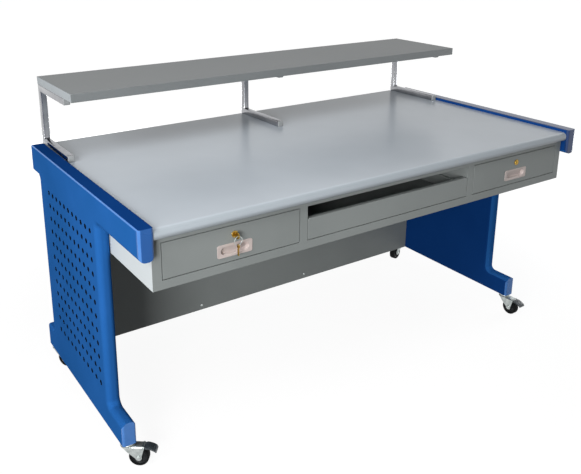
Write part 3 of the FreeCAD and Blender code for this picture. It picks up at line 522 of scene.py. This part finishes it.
bareFork = forkModel(*forkSpec["bare"])
brakedFork = forkModel(*forkSpec["braked"])
axle = axleModel()
pedalPin = pedalPinModel()
races = []
for name, spot in casterSpec["places"].items():
    braked = name.startswith("front")
    caster = name + "_caster"
    wheel = name + "_wheel"
    races.append(stand(race, *spot))
    yoke = stand(brakedFork if braked else bareFork, *spot)
    settle(yoke, name + "_yoke", caster, "zincPlate", [caster + "_fork"])
    bolts = [stand(axle, *spot)] + ([stand(pedalPin, *spot)] if braked else [])
    pins = caster + ("_pins" if braked else "_axle")
    settle(joined(bolts), name + "_axle_bolt", caster, "zincPlate", [pins])
    settle(stand(tyre, *spot), name + "_tread", wheel, "blackRubber", [caster + "_tyre"])
    settle(stand(hub, *spot), name + "_wheel_centre", wheel, "blackNylon", [caster + "_hub"])
    if braked:
        settle(stand(pedal, *spot), name + "_pedal", name + "_brake", "slateNylon", [name + "_brake_pedal"])
settle(joined(races), "caster_races", "bench", "zincPlate", ["caster_stems"])
discard(race, tyre, hub, pedal, bareFork, brakedFork, axle, pedalPin)
print("casters modelled")

# cup pulls: a rounded plate with a raised rim and a dish pressed into it
pullSpec = {"x": 0.5265, "z": 0.6445, "half": (0.050, 0.017), "front": -0.396, "back": -0.394,
            "corner": 0.005, "rim": 0.0030, "rimStep": 0.0005, "edge": 0.0005, "dish": (0.0418, 0.0128),
            "wall": 0.0018, "depth": 0.0100, "backTaper": (0.965, 1, 0.86), "taper": (0.97, 1, 0.86),
            "over": 0.002, "bottomRound": 0.0030, "lipRound": 0.0007}


def pullModel():
    spec = pullSpec
    wide, high = spec["half"]
    dishWide, dishHigh = spec["dish"]
    plate = boxPiece((-wide, spec["front"], -high), (wide, spec["back"], high))
    pick("EDGE", alongY)
    bpy.ops.mesh.bevel(offset=spec["corner"], segments=6, affect="EDGES")
    # rim raised round the plate
    pick("FACE", lambda middle, facing: facing.y < -squarely)
    bpy.ops.mesh.inset(thickness=spec["rim"])
    bpy.ops.transform.translate(value=(0, spec["rimStep"], 0))
    # back of the dish
    pick("FACE", lambda middle, facing: facing.y > squarely)
    bpy.ops.mesh.inset(thickness=high - dishHigh)
    stretch((dishWide / (wide - high + dishHigh), 1, 1))
    bpy.ops.mesh.extrude_region_move(TRANSFORM_OT_translate={"value": (0, spec["depth"] + spec["wall"], 0)})
    stretch(spec["backTaper"])
    bpy.ops.object.mode_set(mode="OBJECT")
    soften(plate, spec["edge"], 3, 12)
    # round-ended hollow, narrower at the bottom
    bend = dishHigh - spec["wall"]
    run = dishWide - spec["wall"] - bend
    line = [(run + bend * cos(radians(a)), bend * sin(radians(a))) for a in range(90, -91, -15)]
    line += [(-run - bend * cos(radians(a)), bend * sin(radians(a))) for a in range(-90, 91, 15)]
    mouth = spec["front"] - spec["over"]
    hollow = prism([(x, mouth, z) for x, z in line], (0, spec["depth"] + spec["over"], 0))
    pick("VERT", lambda corner: corner.y > spec["front"])
    stretch(spec["taper"])
    bpy.ops.object.mode_set(mode="OBJECT")
    pick("EDGE", lambda a, b: min(a.y, b.y) > spec["front"])
    bpy.ops.mesh.bevel(offset=spec["bottomRound"], segments=4, affect="EDGES")
    bpy.ops.object.mode_set(mode="OBJECT")
    carve(plate, hollow)
    # the lip where the hollow meets the plate
    lip = spec["front"] + spec["rimStep"]
    pick("EDGE", lambda a, b: max(abs(a.y - lip), abs(b.y - lip)) < 0.0001
         and max(abs(a.z), abs(b.z)) < bend + 0.0002)
    bpy.ops.mesh.bevel(offset=spec["lipRound"], segments=3, affect="EDGES")
    bpy.ops.object.mode_set(mode="OBJECT")
    return plate


pull = pullModel()
for side, sign in (("left", -1), ("right", 1)):
    fitted = place(twin(pull), shift=(sign * pullSpec["x"], 0, pullSpec["z"]))
    settle(fitted, side + "_dished_pull", side + "_drawer", "paleAbs", [side + "_cup_pull"])
discard(pull)
print("pulls modelled")

# shelf brackets: square tube bent to a C, with plugged ends and a weld bead in each inner corner
bracketSpec = {"left": -0.735, "middle": 0.0, "right": 0.735}
tubeSpec = {"half": 0.010, "front": 0.178, "rear": 0.418, "low": 0.750, "high": 0.941, "side": 0.020,
            "round": 0.0022}


def bracketModel():
    spec = tubeSpec
    front, rear, low, high = spec["front"], spec["rear"], spec["low"], spec["high"]
    inner, lower, upper = rear - spec["side"], low + spec["side"], high - spec["side"]
    outline = [(front, low), (rear, low), (rear, high), (front, high),
               (front, upper), (inner, upper), (inner, lower), (front, lower)]
    bar = prism([(-spec["half"], y, z) for y, z in outline], (2 * spec["half"], 0, 0))
    return soften(bar, spec["round"], 3)


beadSpec = {"radius": 0.0026, "length": 0.0168, "inset": 0.0012, "swell": (1.06, 1, 1), "edge": 0.0004}


def beadModel():
    spec = beadSpec
    deselect()
    bpy.ops.mesh.primitive_cylinder_add(vertices=14, radius=spec["radius"], depth=spec["length"],
                                        rotation=(0, radians(90), 0))
    bead = bpy.context.object
    bpy.ops.object.transform_apply(location=True, rotation=True, scale=True)
    pick("FACE", lambda middle, facing: abs(facing.x) > squarely)
    bpy.ops.mesh.inset(thickness=spec["inset"])
    stretch(spec["swell"])
    bpy.ops.object.mode_set(mode="OBJECT")
    return soften(bead, spec["edge"], 2, 30)


# push-in cap: a low cushion in front of the tube's end
plugSpec = {"cap": 0.002, "inset": 0.0018, "rim": 0.0084, "fall": 0.0011, "edge": 0.0003}


def plugModel():
    spec = plugSpec
    half, front = tubeSpec["half"], tubeSpec["front"]
    cap = boxPiece((-half, front - spec["cap"], 0), (half, front, tubeSpec["side"]))
    pick("EDGE", alongY)
    bpy.ops.mesh.bevel(offset=tubeSpec["round"], segments=3, affect="EDGES")
    pick("FACE", lambda middle, facing: facing.y < -squarely)
    bpy.ops.mesh.inset(thickness=spec["inset"])
    bpy.ops.object.mode_set(mode="OBJECT")
    pick("VERT", lambda corner: corner.y < front - spec["cap"] / 2
         and max(abs(corner.x), abs(corner.z - half)) > spec["rim"])
    bpy.ops.transform.translate(value=(0, spec["fall"], 0))
    bpy.ops.object.mode_set(mode="OBJECT")
    return soften(cap, spec["edge"], 2, 20)


bracket = bracketModel()
bead = beadModel()
plug = plugModel()
beads = []
plugs = []
for side, x in bracketSpec.items():
    tube = place(twin(bracket), shift=(x, 0, 0))
    settle(tube, side + "_tube_bracket", "bench", "chromePlate", [side + "_shelf_bracket"])
    inner = tubeSpec["rear"] - tubeSpec["side"]
    for z in (tubeSpec["low"] + tubeSpec["side"], tubeSpec["high"] - tubeSpec["side"]):
        beads.append(place(twin(bead), shift=(x, inner, z)))
    for z in (tubeSpec["low"], tubeSpec["high"] - tubeSpec["side"]):
        plugs.append(place(twin(plug), shift=(x, 0, z)))
settle(joined(beads), "weld_beads", "bench", "darkWeldMetal")
settle(joined(plugs), "tube_plugs", "bench", "greyPlugPlastic", ["bracket_end_plugs"])
discard(bracket, bead, plug)
print("brackets modelled")

# rivets that hold the modesty panel's cross angle
rivetSpec = {"x": (-0.258, 0.202), "z": 0.088, "front": 0.300}
rivet = turned(mmLine((0, -0.2), (4.6, -0.2), (4.7, 0.2), (4.2, 0.9), (3.1, 1.6), (1.6, 2.0), (0, 2.1)), 32)
rivets = [place(twin(rivet), lying, (x, rivetSpec["front"], rivetSpec["z"])) for x in rivetSpec["x"]]
settle(joined(rivets), "panel_rivets", "bench", "zincPlate")
discard(rivet)
print("rivets modelled")


# a merged copy of a node's own form
def formCopy(node):
    piece = bpy.data.objects.new(node + "_soft", nodes[node].data.copy())
    scene.collection.objects.link(piece)
    activate(piece)
    bpy.ops.mesh.customdata_custom_splitnormals_clear()
    bpy.ops.object.mode_set(mode="EDIT")
    bpy.ops.mesh.select_all(action="SELECT")
    bpy.ops.mesh.remove_doubles(threshold=mergeGap)
    bpy.ops.mesh.dissolve_limited(angle_limit=radians(0.4))
    bpy.ops.mesh.normals_make_consistent(inside=False)
    bpy.ops.object.mode_set(mode="OBJECT")
    return piece


# large flat faces keep their own normal beside rounded edges
def flatten(piece):
    activate(piece)
    weighted = piece.modifiers.new("weighted", "WEIGHTED_NORMAL")
    weighted.keep_sharp = True
    bpy.ops.object.modifier_apply(modifier=weighted.name)
    return piece


def settleCopy(piece, node, finish):
    return flatten(settle(piece, node + "_soft", bodyOf[node], finish, [node]))


# the node's sharp edges rounded as a folded or moulded edge is, by a width in millimetres
def softCopy(node, width, finish):
    return settleCopy(soften(formCopy(node), width / 1000), node, finish)


softSpec = {"left_drawer_front": 1.4, "right_drawer_front": 1.4, "keyboard_front": 1.4, "modesty_panel": 0.3,
            "keyboard_tray": 0.4, "worktop": 0.4}
for node, width in softSpec.items():
    softCopy(node, width, "paleLaminate" if node == "worktop" else "greyEnamel")


# a second finish on the faces at both ends of a piece
def dressEnds(piece, finish):
    piece.data.materials.append(materials[finish])
    end = max(corner.co.x for corner in piece.data.vertices)
    for face in piece.data.polygons:
        face.material_index = int(abs(face.normal.x) > squarely and abs(face.center.x) > end - 0.0002)


dressEnds(softCopy("drawer_housing", 0.5, "greyEnamel"), "paleEnamel")
dressEnds(softCopy("upper_shelf", 0.6, "greyLaminate"), "paleShelfEnd")
print("sheet edges softened")

# locks and keys
lockSpec = {"left_lock_barrel": 0.4, "right_lock_barrel": 0.4, "left_lock_plug": 0.2, "right_lock_plug": 0.2,
            "left_key": 0.4}
for node, width in lockSpec.items():
    softCopy(node, width, "turnedBrass")

# cuts along the spare key's blade, each with its height and its depth
keySpec = {"x": -0.5265, "y": -0.4111, "half": 0.0032, "mouth": 0.0017, "root": 0.0004, "over": 0.001,
           "sideways": 0.003, "edge": 0.0003,
           "cuts": ((0.6470, 0.0015), (0.6428, 0.0010), (0.6388, 0.0017), (0.6350, 0.0009))}
spare = formCopy("spare_key")
bladeEdge = keySpec["y"] - keySpec["half"]
mouth, root, over, sideways = (keySpec[key] for key in ("mouth", "root", "over", "sideways"))
for z, deep in keySpec["cuts"]:
    notch = [(-over, z + mouth), (-over, z - mouth), (deep, z - root), (deep, z + root)]
    corners = [(keySpec["x"] - sideways, bladeEdge + y, height) for y, height in notch]
    carve(spare, prism(corners, (2 * sideways, 0, 0)))
settleCopy(soften(spare, keySpec["edge"], 2, 30), "spare_key", "turnedBrass")
print("locks and keys finished")

# legs: copies of the shell and cover; faces that look into the hollow are near black, primer and painted
# shade;
# the covers, the left arm's top and the right arm's end and top take painted shade, the left arm's end a
# glossier enamel, and the foot end and the arm's outer edges and corners a painted highlight
legSpec = {"armEnd": -0.4005, "armTop": 0.70, "footEnd": -0.2335, "footTop": 0.145, "upward": 0.5,
           "hollow": 0.5, "rim": 0.25, "lift": 0.00002,
           "endFinish": {"left": "glossyEndEnamel", "right": "shadedGlossEnamel"}}
# the place of each coat in a leg's list of materials
# besides the own enamel: primer darkened as painted shade, the arm ends' enamel, the painted highlight and
# the painted shade
coat = {"own": 0, "primerShade": 1, "end": 2, "paintedHighlight": 3, "deep": 4}
for side, outward in (("left", -1), ("right", 1)):
    members = [side + "_leg_shell", side + "_leg_cover"]
    copies = [formCopy(node) for node in members]
    trees = []
    for copy in copies:
        corners = [corner.co for corner in copy.data.vertices]
        trees.append(BVHTree.FromPolygons(corners, [face.vertices for face in copy.data.polygons]))
    for node, copy in zip(members, copies):
        # the covers take painted shade
        own = "paintedShadeEnamel" if node.endswith("cover") else "blueEnamel"
        settle(copy, node + "_soft", "bench", own, [node])
        for finish in ("primerAndShade", legSpec["endFinish"][side], "paintedHighlightEnamel", "paintedShadeEnamel"):
            copy.data.materials.append(materials[finish])
        for face in copy.data.polygons:
            middle, facing = face.center, face.normal
            start = middle + facing * legSpec["lift"]
            inside = any(tree.ray_cast(start, facing, legSpec["hollow"])[0] is not None for tree in trees)
            onTop = middle.z > legSpec["armTop"] and facing.z > legSpec["upward"]
            onFoot = middle.y < legSpec["footEnd"] and middle.z < legSpec["footTop"]
            onEnd = middle.y < legSpec["armEnd"]
            onCorner = onEnd and min(outward * facing.x, -facing.y) > legSpec["rim"]
            onRim = middle.z > legSpec["armTop"] and min(outward * facing.x, facing.z) > legSpec["rim"]
            # faces that look into the hollow take primer darkened as painted shade
            if inside:
                face.material_index = coat["primerShade"]
            # the foot end, the arm end's outer corner and the arm's outer top edge take a painted highlight
            elif onFoot or onCorner or onRim:
                face.material_index = coat["paintedHighlight"]
            # the arm ends take their own enamel, the right one darker as painted shade, and so does the
            # right arm's top
            elif onEnd or (onTop and side == "right"):
                face.material_index = coat["end"]
            else:
                # the left arm's top takes painted shade
                face.material_index = coat["deep" if onTop else "own"]
        flatten(copy)
print("legs dressed")

# camera at the photograph's viewing angle
camSpec = {"place": (-1.371, -1.8196, 1.3981), "pitch": -16.811, "yaw": -33.216, "lens": 45.23,
           "shift": (0.0439, -0.1497)}
bpy.ops.object.camera_add(location=camSpec["place"],
                          rotation=(radians(90 + camSpec["pitch"]), 0, radians(camSpec["yaw"])))
camera = bpy.context.object
camera.name = "camera"
camera.data.lens = camSpec["lens"]
camera.data.shift_x, camera.data.shift_y = camSpec["shift"]
scene.camera = camera

# soft studio light: strong lamps at the left and in front, weaker ones above, behind and at the right
lampSpec = {
    "key": {"place": (-3.0, -0.9, 2.2), "aim": (-0.2, 0.0, 0.55), "size": 1.5, "power": 50},
    "top": {"place": (-0.7, -1.0, 2.4), "aim": (-0.2, -0.1, 0.75), "size": 0.9, "power": 16},
    "front": {"place": (-2.8, -2.5, 1.25), "aim": (-0.1, 0.0, 0.45), "size": 1.1, "power": 102},
    "back": {"place": (0.3, 3.2, 0.34), "aim": (0.0, 0.4, 0.42), "size": 0.7, "power": 40},
    "right": {"place": (2.2, -0.1, 1.7), "aim": (0.8, 0.0, 0.75), "size": 1.0, "power": 4},
    "low": {"place": (2.8, -0.2, 0.5), "aim": (0.8, 0.0, 0.42), "size": 1.0, "power": 26},
}
for name, spec in lampSpec.items():
    aim = Vector(spec["aim"]) - Vector(spec["place"])
    turn = aim.to_track_quat("-Z", "Y").to_euler()
    bpy.ops.object.light_add(type="AREA", location=spec["place"], rotation=turn)
    lamp = bpy.context.object
    lamp.name = name + "_lamp"
    lamp.data.size = spec["size"]
    lamp.data.energy = spec["power"]


# 1 for rays that show the surroundings: straight to the camera, off a gloss or through glass
def shownRays(tree):
    path = addNode(tree, "ShaderNodeLightPath")
    seen = addNode(tree, "ShaderNodeMath", {"operation": "MAXIMUM"},
                   {0: path.outputs["Is Camera Ray"], 1: path.outputs["Is Glossy Ray"]})
    seen = addNode(tree, "ShaderNodeMath", {"operation": "MAXIMUM"},
                   {0: seen.outputs[0], 1: path.outputs["Is Transmission Ray"]})
    return seen.outputs[0]


# the world fills the shadows a little and shows white
worldSpec = {"fill": 0.075, "seen": 1.0}
world = bpy.data.worlds.new("studio")
scene.world = world
world.use_nodes = True
tree = world.node_tree
back = tree.nodes["Background"]
back.inputs["Color"].default_value = (1, 1, 1, 1)
level = addNode(tree, "ShaderNodeMapRange", {"To Min": worldSpec["fill"], "To Max": worldSpec["seen"]},
                {"Value": shownRays(tree)})
tree.links.new(level.outputs["Result"], back.inputs["Strength"])

# a plain pale floor, white to the eye with the bench's shadow on it
floorSpec = {"size": 30, "colour": "#585858", "glow": 0.93, "near": 1.0, "far": 2.4,
             "shader": {"Roughness": 0.9, "Specular IOR Level": 0.0}}
bpy.ops.mesh.primitive_plane_add(size=floorSpec["size"], location=(0, 0, 0))
floor = bpy.context.object
floor.name = "floor"
floorPaint, tree, shader, coords = startMaterial("paleFloor", floorSpec["shader"])
shader.inputs["Base Color"].default_value = toLinear(floorSpec["colour"])
reach = addNode(tree, "ShaderNodeVectorMath", {"operation": "LENGTH"}, {0: coords})
fade = addNode(tree, "ShaderNodeMapRange",
               {"From Min": floorSpec["near"], "From Max": floorSpec["far"],
                "To Min": floorSpec["glow"], "To Max": 1.0},
               {"Value": reach.outputs["Value"]})
strength = addNode(tree, "ShaderNodeMath", {"operation": "MULTIPLY"},
                   {0: fade.outputs["Result"], 1: shownRays(tree)})
glow = addNode(tree, "ShaderNodeEmission", {"Color": (1, 1, 1, 1)}, {"Strength": strength.outputs[0]})
both = addNode(tree, "ShaderNodeAddShader", links={0: shader.outputs[0], 1: glow.outputs[0]})
tree.links.new(both.outputs[0], tree.nodes["Material Output"].inputs["Surface"])
floor.data.materials.append(floorPaint)
print("stage lit")
